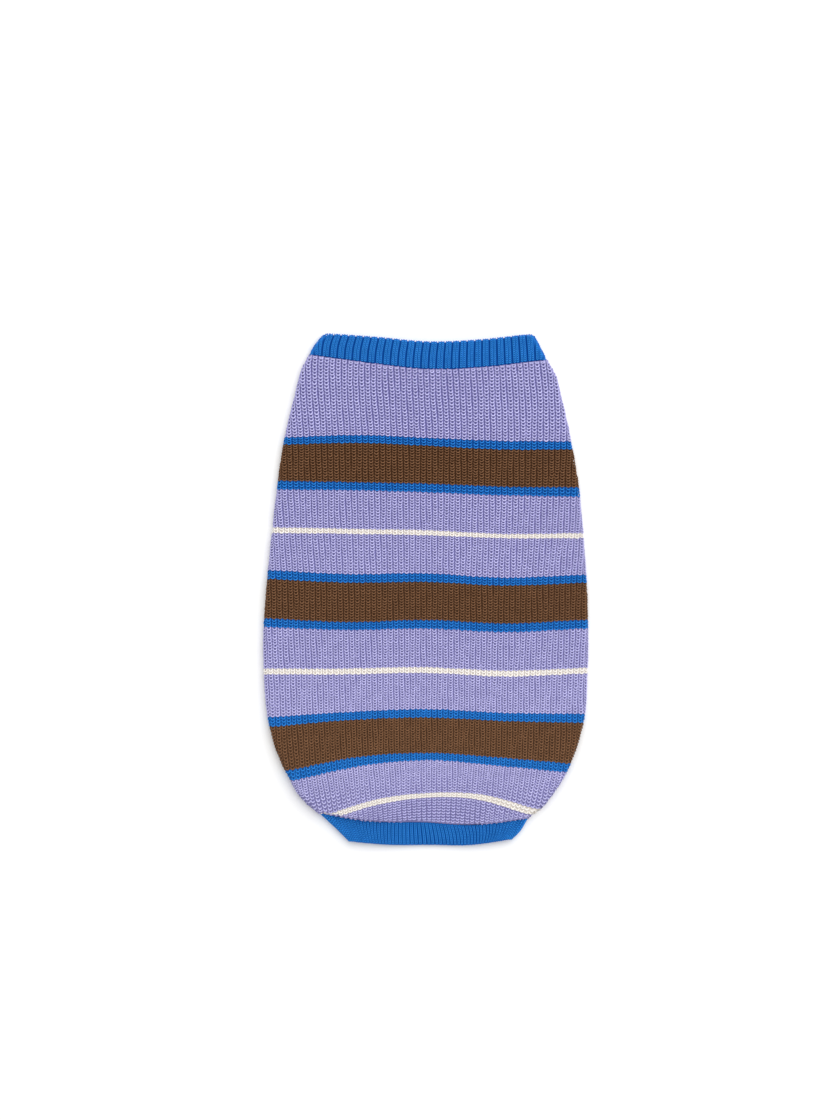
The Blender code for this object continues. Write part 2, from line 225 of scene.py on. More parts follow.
def run_along(points: Array) -> Array:
    """How far each point is from the first, measured along them."""
    steps = np.diff(points, axis=-2, prepend=points[..., :1, :])
    return np.linalg.norm(steps, axis=-1).cumsum(axis=-1)


def raised(flat: Array, height: float) -> Array:
    """Points of a flat outline, all set at one height."""
    return np.column_stack((flat, np.full(len(flat), height)))


def read(items: Sequence, key: str, width: int = 1, kind: type = np.float32) -> Array:
    """Reads a value of each item of a mesh, or a vector of this width."""
    values = np.zeros(len(items) * width, kind)
    items.foreach_get(key, values)
    return values.reshape(-1, width) if width > 1 else values


def new_object(name: str, data: ID) -> Object:
    """A new object, linked to the scene."""
    made = bpy.data.objects.new(name, data)
    bpy.context.scene.collection.objects.link(made)
    return made


def evaluated_mesh(item: Object, **layers: bool) -> Mesh:
    """A new mesh of what an object's modifier makes of it."""
    graph = bpy.context.evaluated_depsgraph_get()
    return bpy.data.meshes.new_from_object(item.evaluated_get(graph), depsgraph=graph, **layers)


@dataclass(frozen=True)
class FlatTube:
    """A knitted tube pressed flat, given by lines across it."""

    lines: tuple[Line, ...]
    seams: tuple[Line, ...] = ()  # the first and the last seam, which cut off the lines that run past them

    @cached_property
    def ends(self) -> list[Line]:
        """The seams that the tube ends at, in metres."""
        return [Line(seam.at, *(value * MM for value in seam[1:])) for seam in self.seams]

    def line(self, at: float) -> Line:
        """The line across the tube at one place along it, in metres."""
        knots = [line.at for line in self.lines]
        columns = np.array(self.lines, float).T[1:]
        return Line(at, *(float(smooth_between(knots, column, at)) * MM for column in columns))

    def ring(
        self, line: Line, stations: Array, inset: float | Array = 0.0, proud: float | Array = 0.0,
        ripples: float = 0.0,
    ) -> Array:
        """Points of one ring of the tube.

        Args:
            line: Line across the tube that the ring follows, in metres.
            stations: Places round the ring, from 0 to 6.
            inset: How far the points lie inside the cloth's outer face.
            proud: How far they stand off it again over the top, fading out round the folds.
            ripples: Share of the cloth's lazy waves that they take.

        Returns:
            One point for each station, in metres.
        """
        stations = np.asarray(stations, float)
        proud = np.broadcast_to(proud, stations.shape)
        inset = np.broadcast_to(inset, stations.shape)
        radius = line.fold / 2
        left_edge, right_edge = line.edges
        points = np.zeros((len(stations), 3))

        over = stations <= TOP_END
        across = 2 * stations[over] - 1
        x = np.interp(across, (-1, 1), line.edges)
        y = line.over_top(across)
        dome = (1 - across**2) ** 2 if line.rise < line.fold else 1 - across**4
        wave = ripples * self.ripple(x, y) * (1 - across**4)
        height = line.fold + (line.rise - line.fold) * dome + wave
        left_y, right_y = line.left_y, line.right_y
        if self.seams:
            y = np.clip(y, self.end_height(x, -1), self.end_height(x, 0))
            left_y, right_y = max(left_y, self.ends[-1].left_y), max(right_y, self.ends[-1].right_y)
        points[over] = np.column_stack((x, y, height - inset[over] + proud[over]))

        folds = (
            ((stations > TOP_END) & (stations <= RIGHT_FOLD_END), TOP_END, 1, line.right_x, right_y),
            (stations > LEFT_FOLD_START, RING_END, -1, line.left_x, left_y),
        )
        for here, top_station, side, fold_x, fold_y in folds:
            turn = np.pi * np.abs(stations[here] - top_station)
            reach = radius - inset[here] + (1 + np.cos(turn)) / 2 * proud[here]
            x = fold_x - side * radius + side * reach * np.sin(turn)
            points[here] = np.column_stack((x, np.full(turn.shape, fold_y), radius + reach * np.cos(turn)))

        under = (stations > RIGHT_FOLD_END) & (stations <= LEFT_FOLD_START)
        marks = (RIGHT_FOLD_END, RIGHT_SEAM, LEFT_SEAM, LEFT_FOLD_START)
        x = np.interp(stations[under], marks, (right_edge, right_edge - WRAP, left_edge + WRAP, left_edge))
        across = np.interp(x, line.edges, (-1, 1))
        straight = np.interp(across, (-1, 1), (left_y, right_y))
        y = straight + (line.under_y - straight) * (1 - across**2) ** 2
        points[under] = np.column_stack((x, y, inset[under]))
        return points

    def end_height(self, x: Array, which: int = -1) -> Array:
        """Where the last seam lies along the garment, or the first, over the top at each x."""
        end = self.ends[which]
        return end.over_top(np.interp(x, end.edges, (-1, 1)))

    @staticmethod
    def ripple(x: Array, y: Array) -> Array:
        """Height of the lazy waves, 10 to 27 cm long, of a cloth that was smoothed out by hand."""
        along = np.sin(2 * np.pi * (y / 0.096 + 0.14 * np.sin(2 * np.pi * x / 0.19)))
        across = np.sin(2 * np.pi * (x / 0.13 + y / 0.27) + 1.0)
        return RIPPLE * (0.6 * along + 0.4 * across)

    def even_stations(self, line: Line, shares: Array) -> Array:
        """Stations at these shares of the way round a ring, measured along the cloth."""
        fine = np.linspace(0, RING_END, 1201)
        run = run_along(self.ring(line, fine))
        return np.interp(np.mod(shares, 1.0) * run[-1], run, fine)


class NodeGraph:
    """A node tree, built by saying what the settings and the inputs of each node are."""

    def __init__(self, tree: NodeTree) -> None:
        """Takes the tree to build in."""
        self.tree = tree

    def feed(self, node: Node, inputs: Inputs) -> None:
        """Gives inputs of a node their values, by name or number, and links those given a socket."""
        for name, value in inputs.items():
            if isinstance(value, Socket):
                self.tree.links.new(value, node.inputs[name])
            else:
                node.inputs[name].default_value = value

    def add(
        self, kind: str, inputs: Inputs | None = None, output: int | str = 0, **settings: object
    ) -> Socket:
        """Adds a node.

        Args:
            kind: Its type.
            inputs: Value or socket for each of its inputs.
            output: Which of its outputs is wanted.
            **settings: Its settings, made before its inputs.

        Returns:
            That output.
        """
        node = self.tree.nodes.new(kind)
        for name, value in settings.items():
            setattr(node, name, value)
        self.feed(node, inputs or {})
        return node.outputs[output]


class MaterialGraph(NodeGraph):
    """The node tree of a new material."""

    MIX_LOW, MIX_HIGH, MIX_RESULT = 6, 7, 2  # the colour sockets of a mix node

    def __init__(self, name: str) -> None:
        """Makes the material."""
        self.material = bpy.data.materials.new(name)
        self.material.use_nodes = True
        super().__init__(self.material.node_tree)
        self.place = self.add("ShaderNodeTexCoord", output="Object")

    def attribute(self, name: str) -> Socket:
        """A value that the mesh brings."""
        return self.add("ShaderNodeAttribute", output="Fac", attribute_name=name)

    def noise(self, scale: float, detail: float = 2.0) -> Socket:
        """Noise all over the piece."""
        return self.add("ShaderNodeTexNoise", {"Vector": self.place, "Scale": scale, "Detail": detail}, "Fac")

    def ramp(self, share: Socket, low: tuple[float, Triple], high: tuple[float, Triple]) -> Socket:
        """A blend from one colour to another, each with the share at which it is reached."""
        colour = self.add("ShaderNodeValToRGB", {"Fac": share})
        for element, (place, value) in zip(colour.node.color_ramp.elements, (low, high)):
            element.position, element.color = place, (*value, 1.0)
        return colour

    def mix(self, attribute: str, low: Socket | Triple, high: Socket | Triple) -> Socket:
        """A blend of two colours by a value that the mesh brings."""
        low, high = (side if isinstance(side, Socket) else (*side, 1.0) for side in (low, high))
        inputs = {0: self.attribute(attribute), self.MIX_LOW: low, self.MIX_HIGH: high}
        return self.add("ShaderNodeMix", inputs, self.MIX_RESULT, data_type="RGBA")

    def bump(self, height: Socket, strength: float, distance: float) -> Socket:
        """Fine relief."""
        return self.add("ShaderNodeBump", {"Height": height, "Strength": strength, "Distance": distance})

    def finish(self, **inputs: object) -> Material:
        """Sets the shader's inputs, their names written with _ for a space, and returns the material."""
        shader = self.tree.nodes["Principled BSDF"]
        self.feed(shader, {name.replace("_", " "): value for name, value in inputs.items()})
        return self.material


@dataclass(frozen=True)
class Finish:
    """The look of one material, made when it is first asked for."""

    name: str
    light: Triple
    # The second colour is painted shade: of the yarn's hollows, or of the grooves of the wall's purl
    shade_colour: Triple

    def material(self) -> Material:
        """The material, made once."""
        return bpy.data.materials.get(self.name) or self.paint(MaterialGraph(self.name))

    def paint(self, graph: MaterialGraph) -> Material:
        """Makes the material's nodes."""
        raise NotImplementedError


@dataclass(frozen=True)
class YarnFinish(Finish):
    """The look of one yarn: its colour on the crests, the painted shade of its hollows, and its fibres."""

    roughness: float = 0.9
    sheen: float = 0.06
    fibre_scale: float = 2600.0
    fibre_bump: float = 0.35
    heather_scale: float = 160.0
    heather: Pair = (0.82, 1.10)  # how far the light colour wanders
    by_stitch: float = 0.35  # how much of that goes by the stitch

    def paint(self, graph: MaterialGraph) -> Material:
        """Makes the yarn's nodes."""
        parts = {0: graph.attribute("tone"), 1: self.by_stitch, 2: graph.noise(self.heather_scale, 3.0)}
        share = graph.add("ShaderNodeMath", parts, operation="MULTIPLY_ADD")
        pale, full = (tuple(min(1.0, part * value) for value in self.light) for part in self.heather)
        crest = graph.ramp(share, (0.30, pale), (0.95, full))
        # The base colour goes to the painted shade colour in the yarn's hollows
        return graph.finish(
            Base_Color=graph.mix("hollow", crest, self.shade_colour),
            Roughness=self.roughness,
            Sheen_Weight=self.sheen,
            Sheen_Roughness=0.5,
            Sheen_Tint=(*self.light, 1.0),
            Specular_IOR_Level=0.08,
            Normal=graph.bump(graph.noise(self.fibre_scale), self.fibre_bump, 0.12 * MM),
        )


@dataclass(frozen=True)
class WallFinish(Finish):
    """The look of the cloth behind the stitches, painted dark as shade on its outer side, and of its plain
    purl side within, with painted shade in its grooves.
    """

    behind: Triple  # painted shade of the outer side, seen in the gaps between the stitches
    course_scale: float = 260.0
    roughness: float = 0.95

    def paint(self, graph: MaterialGraph) -> Material:
        """Makes the wall's nodes."""
        waves = {"Vector": graph.place, "Scale": self.course_scale, "Distortion": 2.5, "Detail": 1.0}
        purl = graph.add("ShaderNodeTexWave", waves, "Fac", wave_type="BANDS", bands_direction="Y")
        within = graph.ramp(purl, (0.0, self.shade_colour), (1.0, self.light))
        # Painted shade: the outer side between the stitches, and the grooves of the purl within
        return graph.finish(
            Base_Color=graph.mix("within", self.behind, within),
            Roughness=self.roughness,
            Sheen_Weight=0.05,
            Specular_IOR_Level=0.05,
            Normal=graph.bump(purl, 0.6, 0.4 * MM),
        )


# Each yarn: its name, its colour, and the painted shade colour of its hollows
YARNS = {
    Yarn.LAVENDER: YarnFinish("yarn_lavender", (0.630, 0.612, 0.950), (0.255, 0.240, 0.520)),
    Yarn.BLUE: YarnFinish("yarn_blue", (0.034, 0.275, 0.780), (0.002, 0.075, 0.340)),
    Yarn.BROWN: YarnFinish("yarn_brown", (0.260, 0.132, 0.069), (0.064, 0.025, 0.009)),
    Yarn.CREAM: YarnFinish("yarn_cream", (0.930, 0.905, 0.872), (0.82, 0.77, 0.72), heather=(0.95, 1.05)),
}
RIB_YARN = YarnFinish("yarn_rib_blue", (0.048, 0.360, 0.915), (0.005, 0.110, 0.470))
# Each wall: its name, the purl side's colour and the painted shade of its grooves, and the painted shade of
# its outer side between the stitches
WALLS = {
    Yarn.LAVENDER: WallFinish("wall_lavender", (0.36, 0.34, 0.62), (0.26, 0.24, 0.48), (0.135, 0.125, 0.330)),
    Yarn.BLUE: WallFinish("wall_blue", (0.020, 0.140, 0.440), (0.012, 0.095, 0.330), (0.003, 0.060, 0.280)),
    Yarn.BROWN: WallFinish("wall_brown", (0.120, 0.068, 0.040), (0.080, 0.044, 0.026), (0.050, 0.020, 0.008)),
    Yarn.CREAM: WallFinish("wall_cream", (0.74, 0.69, 0.62), (0.60, 0.55, 0.48), (0.74, 0.67, 0.60)),
}
RIB_WALL = WallFinish("wall_rib_blue", (0.034, 0.270, 0.760), (0.020, 0.200, 0.620), (0.004, 0.074, 0.340))
SLOTS = {
    Yarn.LAVENDER: "knit_lavender", Yarn.BLUE: "knit_blue",
    Yarn.BROWN: "knit_brown", Yarn.CREAM: "knit_cream",
}
RIB_SLOT = "rib_blue"


@dataclass(frozen=True)
class Gauge:
    """Size and shape of one stitch, of which each place on the cloth gets a stretched copy.

    The points of a loop are shares: of the wale's pitch, the course's height, and the yarn's radius.
    """

    pitch: float
    row: float
    radius: float
    head: Triple = (0.292, 1.06, -1.30)  # each end of the loop
    turn: Triple = (0.506, -0.25, 0.60)  # the handles that draw it down to its turn
    valley: float = 0.45  # how much less painted shade the yarn gets beside a loop than within it
    dim_turn: float = 0.14  # how much painted shade the loop's turn takes
    dim_leg: float = 0.20  # how much painted shade its legs take, half way up
    sides: int = 4
    rings: int = 5

    @property
    def crest(self) -> float:
        """Height of the yarn's top over the plane that the stitches are set on."""
        return (0.25 * self.head[2] + 0.75 * self.turn[2] + 1.0) * self.radius

    def point(self, share: Triple) -> Triple:
        """One point of a loop in metres."""
        return (share[0] * self.pitch, share[1] * self.row, share[2] * self.radius)


BODY_GAUGE = Gauge(2.6 * MM, 1.95 * MM, 0.60 * MM)
UNDER_GAUGE = replace(BODY_GAUGE, rings=4)
NARROW = dict(head=(0.32, 1.05, -0.80), turn=(0.32, -0.30, 0.50), valley=0.0, dim_turn=0.0, rings=4)
COLLAR_GAUGE = Gauge(1.7 * MM, 1.45 * MM, 0.40 * MM, **NARROW)
HEM_GAUGE = Gauge(1.7 * MM, 1.4 * MM, 0.37 * MM, **NARROW)
LEG_GAUGE = Gauge(1.7 * MM, 1.5 * MM, 0.42 * MM, **NARROW)


class Stitches(NamedTuple):
    """Where a set of stitches sits: one row of each array for a stitch."""

    foot: Array
    along: Array
    outward: Array
    pitch: Array
    cell: Array  # the stitch's wale and course, for the map of the cloth, and how much painted shade its hollows get
    relief: Array  # its height, as a share of the gauge's

    @classmethod
    def between(
        cls, foot: Array, head: Array, lifted: Array, pitch: Array, cell: Array, relief: float | Array = 1.0
    ) -> "Stitches":
        """Stitches that run from foot to head, with lifted straight above foot."""
        pitch, relief = np.broadcast_to(pitch, len(foot)), np.broadcast_to(relief, len(foot))
        return cls(foot, head - foot, unit(lifted - foot), pitch, cell, relief)

    def taken(self, keep: Array) -> "Stitches":
        """Only the stitches where keep is true."""
        return Stitches(*(part[keep] for part in self))

    @classmethod
    def joined(cls, sets: Sequence["Stitches"]) -> "Stitches":
        """Several sets as one."""
        return cls(*map(np.concatenate, zip(*sets)))


class StitchTree(NodeGraph):
    """Geometry Nodes that set a loop of yarn on every point of a carrier."""

    SIZES = (
        ("Yarn Radius", "NodeSocketFloat"), ("Turn", "NodeSocketVector"), ("Head", "NodeSocketVector"),
        ("Sides", "NodeSocketInt"), ("Rings", "NodeSocketInt"), ("Seed", "NodeSocketInt"),
        ("Yarn", "NodeSocketMaterial"),
    )
    ENDS = (  # of a loop: what each follows, and on which side
        ("Start", "Head", -1.0), ("Start Handle", "Turn", -1.0),
        ("End Handle", "Turn", 1.0), ("End", "Head", 1.0),
    )
    TIP = 0.7  # width of the yarn at a loop's ends, as a share
    SWAY = 0.05  # how far a stitch leans to either side, in radians
    # Where the painted shade of a loop changes, and over how far: beside it, toward its head, and as it sinks
    BESIDE, HEADWARD, SINKING = (0.34, 0.12), (0.4, 0.4), (0.75, 1.1)
    TURN_WIDTH, LEG_MIDDLE, LEG_REACH = 0.2, 0.4, 0.35  # where its turn and its legs get painted shade
    FLAT_TONE = 0.38  # how far all of it goes to the painted shade colour where the hollows' own shade is faint
    MAP_EDGE, MAP_WIDTH, MAP_HEIGHT, MAP_OUTER = 0.01, 0.98, 0.48, 0.51

    def __init__(self) -> None:
        """Builds the tree."""
        super().__init__(bpy.data.node_groups.new("stitches", "GeometryNodeTree"))
        face = self.tree.interface
        face.new_socket("Geometry", in_out="INPUT", socket_type="NodeSocketGeometry")
        self.identifiers = [
            face.new_socket(name, in_out="INPUT", socket_type=kind).identifier for name, kind in self.SIZES
        ]
        face.new_socket("Geometry", in_out="OUTPUT", socket_type="NodeSocketGeometry")
        self.given = self.tree.nodes.new("NodeGroupInput").outputs
        self.feed(self.tree.nodes.new("NodeGroupOutput"), {0: self.set_out(self.loop())})

    def attribute(self, name: str) -> Socket:
        """A named vector that the carrier's points bring."""
        kind = "GeometryNodeInputNamedAttribute"
        return self.add(kind, {"Name": name}, "Attribute", data_type="FLOAT_VECTOR")

    def chance(self, low: float, high: float) -> Socket:
        """A number between two, by chance, for each point."""
        inputs = {"Seed": self.given["Seed"], 2: low, 3: high}
        return self.add("FunctionNodeRandomValue", inputs, 1, data_type="FLOAT")

    def stored(self, geometry: Socket, name: str, value: Socket, kind: str, domain: str) -> Socket:
        """The geometry with a value stored on it under a name."""
        inputs = {"Geometry": geometry, "Name": name, "Value": value}
        return self.add("GeometryNodeStoreNamedAttribute", inputs, data_type=kind, domain=domain)

    def loop(self) -> Socket:
        """One stitch: a tube of yarn that comes down, turns and goes up again, thinner at its heads.

        Returns:
            The stitch's mesh.
        """
        ends = {"Resolution": self.given["Rings"]}
        for end, name, side in self.ENDS:
            inputs = {0: self.given[name], 1: (side, 1.0, 1.0)}
            ends[end] = self.add("ShaderNodeVectorMath", inputs, operation="MULTIPLY")
        line = self.add("GeometryNodeCurvePrimitiveBezierSegment", ends, mode="POSITION")
        upright = self.add("GeometryNodeSetCurveNormal", {"Curve": line}, mode="Z_UP")
        share = self.add("GeometryNodeSplineParameter", output="Factor")
        taper = self.add("ShaderNodeFloatCurve", {"Value": share})
        mapping = taper.node.mapping
        for end in (0, 1):
            mapping.curves[0].points[end].location = (end, self.TIP)
        for place in (0.25, 0.75):
            mapping.curves[0].points.new(place, 1.0)
        mapping.update()
        round_yarn = {"Resolution": self.given["Sides"], "Radius": self.given["Yarn Radius"]}
        outline = self.add("GeometryNodeCurvePrimitiveCircle", round_yarn)
        inputs = {"Curve": upright, "Profile Curve": outline, "Scale": taper, "Fill Caps": True}
        return self.add("GeometryNodeCurveToMesh", inputs)

    def set_out(self, stitch: Socket) -> Socket:
        """Copies of the stitch on all points, made real and given their yarn.

        Args:
            stitch: Mesh of one loop.

        Returns:
            The finished geometry.
        """
        place = self.add("GeometryNodeInputPosition")
        axes = {"Primary Axis": self.attribute("outward"), "Secondary Axis": self.attribute("across")}
        turn = self.add("FunctionNodeAxesToRotation", axes, primary_axis="Z", secondary_axis="X")
        lean = self.add("ShaderNodeCombineXYZ", {"Z": self.chance(-self.SWAY, self.SWAY)})
        inputs = {
            "Points": self.given["Geometry"],
            "Instance": self.stored(stitch, "loop_place", place, "FLOAT_VECTOR", "POINT"),
            "Rotation": self.add(
                "FunctionNodeRotateRotation", {"Rotation": turn, "Rotate By": lean}, rotation_space="LOCAL"
            ),
            "Scale": self.attribute("stretch"),
        }
        copies = self.add("GeometryNodeInstanceOnPoints", inputs)
        toned = self.stored(copies, "tone", self.chance(0.0, 1.0), "FLOAT", "INSTANCE")
        real = self.add("GeometryNodeRealizeInstances", {"Geometry": toned})
        smooth = self.add("GeometryNodeSetShadeSmooth", {"Geometry": real})
        return self.add("GeometryNodeSetMaterial", {"Geometry": smooth, "Material": self.given["Yarn"]})

    def knit(self, name: str, stitches: Stitches, gauge: Gauge, finish: YarnFinish, seed: int) -> Object:
        """Knits one piece of yarn.

        Args:
            name: Name of the piece.
            stitches: Where its stitches sit.
            gauge: Size of one stitch.
            finish: The yarn's look.
            seed: Seed of the small differences between stitches.

        Returns:
            The piece, a plain mesh.
        """
        row = np.linalg.norm(stitches.along, axis=1)
        dots = bpy.data.meshes.new(name + "_carrier")
        dots.vertices.add(len(stitches.foot))
        dots.vertices.foreach_set("co", stitches.foot.ravel())
        values = {
            "across": unit(np.cross(stitches.along, stitches.outward)),
            "outward": stitches.outward,
            "stretch": np.column_stack((stitches.pitch / gauge.pitch, row / gauge.row, stitches.relief)),
            "cell": stitches.cell,
        }
        for key, vectors in values.items():
            held = dots.attributes.new(key, "FLOAT_VECTOR", "POINT")
            held.data.foreach_set("vector", np.ascontiguousarray(vectors, np.float32).ravel())
        carrier = new_object(name + "_carrier", dots)
        modifier = carrier.modifiers.new("stitches", "NODES")
        modifier.node_group = self.tree
        turn, head = gauge.point(gauge.turn), gauge.point(gauge.head)
        sizes = (gauge.radius, turn, head, gauge.sides, gauge.rings, seed, finish.material())
        for identifier, value in zip(self.identifiers, sizes):
            modifier[identifier] = value
        mesh = evaluated_mesh(carrier, preserve_all_data_layers=True)
        bpy.data.objects.remove(carrier)
        bpy.data.meshes.remove(dots)
        mesh.name = name
        piece = new_object(name, mesh)
        self.lay_out_map(mesh, gauge)
        self.press_down(mesh)
        return piece

    @staticmethod
    def press_down(mesh: Mesh) -> None:
        """Flattens the yarn where the garment rests."""
        points = read(mesh.vertices, "co", 3)
        points[:, 2] = np.maximum(points[:, 2], 0.0)
        mesh.vertices.foreach_set("co", points.ravel())
        mesh.update()

    def lay_out_map(self, mesh: Mesh, gauge: Gauge) -> None:
        """Gives the yarn its painted shade in the hollows, and a map laid out as the cloth is, outer sides in
        one half of it.

        Args:
            mesh: Mesh of the yarn, with the places that the tree kept.
            gauge: Size of one stitch.
        """
        keys = ("loop_place", "cell", "outward", "across", "stretch")
        place, cell, outward = [read(mesh.attributes[key].data, "vector", 3) for key in keys[:3]]
        for key in keys:
            if key in mesh.attributes:
                mesh.attributes.remove(mesh.attributes[key])
        x, y, z = (place / (gauge.pitch, gauge.row, gauge.radius)).T
        # Painted shade: darker as the yarn sinks and within the loop, at its turn and on its legs, scaled by
        # the stitch's share
        beside, headward = (
            smooth_step((at - start) / width)
            for at, (start, width) in ((np.abs(x), self.BESIDE), (y, self.HEADWARD))
        )
        start, width = self.SINKING
        painted_shade = smooth_step((start - z) / width) * (1 - gauge.valley * beside * (1 - headward))
        turn = gauge.dim_turn * (1 - smooth_step(np.abs(x) / self.TURN_WIDTH))
        leg = gauge.dim_leg * (1 - smooth_step(np.abs(y - self.LEG_MIDDLE) / self.LEG_REACH))
        depth = cell[:, 2]
        painted_shade = np.maximum(painted_shade, np.maximum(turn, leg)) * depth + self.FLAT_TONE * (1 - depth)
        hollow = mesh.attributes.new("hollow", "FLOAT", "POINT")
        hollow.data.foreach_set("value", painted_shade.astype(np.float32))

        at = cell[:, :2] + place[:, :2] / (gauge.pitch, -gauge.row)
        at = (at - at.min(0)) / (at.max(0) - at.min(0))
        sizes, first = (read(mesh.polygons, key, kind=np.int32) for key in ("loop_total", "loop_start"))
        corners = read(mesh.loops, "vertex_index", kind=np.int32)
        outside = (read(mesh.polygons, "normal", 3) * outward[corners[first]]).sum(1) > 0
        spots = at[corners]
        spots[:, 0] = self.MAP_EDGE + self.MAP_WIDTH * spots[:, 0]
        bottom = np.where(np.repeat(outside, sizes), self.MAP_OUTER, self.MAP_EDGE)
        spots[:, 1] = bottom + self.MAP_HEIGHT * (1 - spots[:, 1])
        layer = mesh.uv_layers.new(name="OFBake")
        layer.data.foreach_set("uv", spots.astype(np.float32).ravel())


def cloth_wall(
    name: str, sections: Array, materials: Sequence[Material], rows: Sequence[int], outer: int, loop: bool,
    shade: float | Array = 0.0,
) -> Object:
    """A wall of cloth drawn through sections, each a closed loop round the wall's thickness.

    Args:
        name: Name of the piece.
        sections: Points, as section, place in the loop, and x, y, z.
        materials: Materials of the piece.
        rows: Which of the materials each row of faces has, from one section to the next.
        outer: How many of a section's points, from its first, are on the outer side.
        loop: True joins the last section to the first; False closes each end across the thickness.
        shade: How far the outer points behind the stitches are lifted from their painted shade, from 0 to 1,
            the inner side's tone.

    Returns:
        The piece.
    """
    count, points = sections.shape[:2]
    index = np.arange(count * points).reshape(count, points)
    after = np.roll(index, -1, axis=0) if loop else index[1:]
    here = index if loop else index[:-1]
    quads = np.stack((here, np.roll(here, -1, 1), np.roll(after, -1, 1), after), axis=-1).reshape(-1, 4)
    face_rows = np.repeat(np.asarray(rows, int), points)
    if not loop:
        half = points // 2
        for end, row in ((index[0], rows[0]), (index[-1], rows[-1])):
            lid = [(end[j], end[j + 1], end[points - 2 - j], end[points - 1 - j]) for j in range(half - 1)]
            quads = np.concatenate((quads, lid))
            face_rows = np.concatenate((face_rows, np.full(len(lid), row)))
    mesh = bpy.data.meshes.new(name)
    mesh.from_pydata(sections.reshape(-1, 3), [], quads.tolist())
    for material in materials:
        mesh.materials.append(material)
    mesh.polygons.foreach_set("material_index", face_rows.astype(np.int32))
    # Outer points take the wall's painted shade, lifted by shade; inner points take the inner side's tone
    within = mesh.attributes.new("within", "FLOAT", "POINT")
    paler = np.where(index % points >= outer, 1.0, shade)
    within.data.foreach_set("value", paler.astype(np.float32).ravel())
    bm = bmesh.new()
    bm.from_mesh(mesh)
    bmesh.ops.remove_doubles(bm, verts=bm.verts, dist=0.005 * MM)
    bmesh.ops.recalc_face_normals(bm, faces=bm.faces)
    bm.to_mesh(mesh)
    bm.free()
    mesh.shade_smooth()
    mesh.set_sharp_from_angle(angle=SHARP_ANGLE)
    return new_object(name, mesh)


@dataclass
class SweaterPart:
    """One cut piece of the sweater: its wall of cloth and the yarn on it."""

    node: str
    flat: Pair
    area: float | None
    slot: str
    knitted: list[Object] = field(default_factory=list)

    def knit(
        self, tree: StitchTree, name: str, stitches: Stitches, finish: YarnFinish, slot: str, seed: int
    ) -> None:
        """Knits one piece of the part's yarn, in its gauge."""
        piece = tree.knit(name, stitches, self.gauge, finish, seed)
        self.knitted.append(piece)

    def put_on(self, wall: Object) -> None:
        """Sets the part on its body, in place of its solid, and logs its pieces and faces."""
        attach(wall, ROOT)
        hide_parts(self.node)
        for piece in self.knitted:
            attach(piece, ROOT)
        faces = sum(len(piece.data.polygons) for piece in (wall, *self.knitted))
        lowest = min(min(corner[2] for corner in piece.bound_box) for piece in (wall, *self.knitted))
        told = (wall.name, len(self.knitted), faces, lowest / MM)
        LOG.info("%s: %d pieces of yarn, %d faces, lowest %.2f mm", *told)


